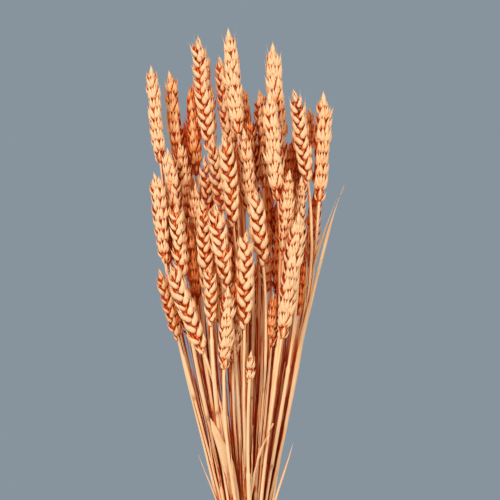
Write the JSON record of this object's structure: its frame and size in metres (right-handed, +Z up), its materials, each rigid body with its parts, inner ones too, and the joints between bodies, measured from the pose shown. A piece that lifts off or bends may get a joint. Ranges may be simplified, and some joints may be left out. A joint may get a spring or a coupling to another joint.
{
  "type": "dried wheat bundle",
  "caption": "Tied bundle of dyed dried wheat: straw stems drawn together by twine fan out above it into leaning ears, with a few loose leaves.",
  "frame": {"origin": "middle of the bundle's bounding box, at the level of the cut stem ends it stands on", "axes": "+Z up along the stalks, -Y towards the side that the picture shows, +X to that side's right"},
  "size_m": [0.1668, 0.114, 0.601],
  "materials": {
    "straw": "matte dyed straw and husk",
    "leaf": "matte dyed dry leaf",
    "twine": "rough twisted fibre"
  },
  "bodies": {
    "root": {"leaf_curled": "leaf", "leaf_long": "leaf", "leaf_narrow": "leaf", "leaf_stub": "leaf", "leaf_thread": "leaf", "sheath_open": "leaf", "twine_tie": "twine", "wheat_stalk_01": "straw", "wheat_stalk_02": "straw", "wheat_stalk_03": "straw", "wheat_stalk_04": "straw", "wheat_stalk_05": "straw", "wheat_stalk_06": "straw", "wheat_stalk_07": "straw", "wheat_stalk_08": "straw", "wheat_stalk_09": "straw", "wheat_stalk_10": "straw", "wheat_stalk_11": "straw", "wheat_stalk_12": "straw", "wheat_stalk_13": "straw", "wheat_stalk_14": "straw", "wheat_stalk_15": "straw", "wheat_stalk_16": "straw", "wheat_stalk_17": "straw", "wheat_stalk_18": "straw", "wheat_stalk_19": "straw", "wheat_stalk_20": "straw", "wheat_stalk_21": "straw", "wheat_stalk_22": "straw", "wheat_stalk_23": "straw", "wheat_stalk_24": "straw", "wheat_stalk_25": "straw", "wheat_stalk_26": "straw", "wheat_stalk_27": "straw", "wheat_stalk_28": "straw", "wheat_stalk_29": "straw", "wheat_stalk_30": "straw", "wheat_stalk_31": "straw", "wheat_stalk_32": "straw", "wheat_stalk_33": "straw", "wheat_stalk_34": "straw", "wheat_stalk_35": "straw", "wheat_stalk_36": "straw", "wheat_stalk_37": "straw", "wheat_stalk_38": "straw", "wheat_stalk_39": "straw", "wheat_stalk_40": "straw", "wheat_stalk_41": "straw", "wheat_stalk_42": "straw", "wheat_stalk_43": "straw", "wheat_stalk_44": "straw", "wheat_stalk_45": "straw", "wheat_stalk_46": "straw", "wheat_stalk_47": "straw", "wheat_stalk_48": "straw", "wheat_stalk_49": "straw", "wheat_stalk_50": "straw", "wheat_stalk_51": "straw", "wheat_stalk_52": "straw", "wheat_stalk_53": "straw"}
  },
  "joints": []
}
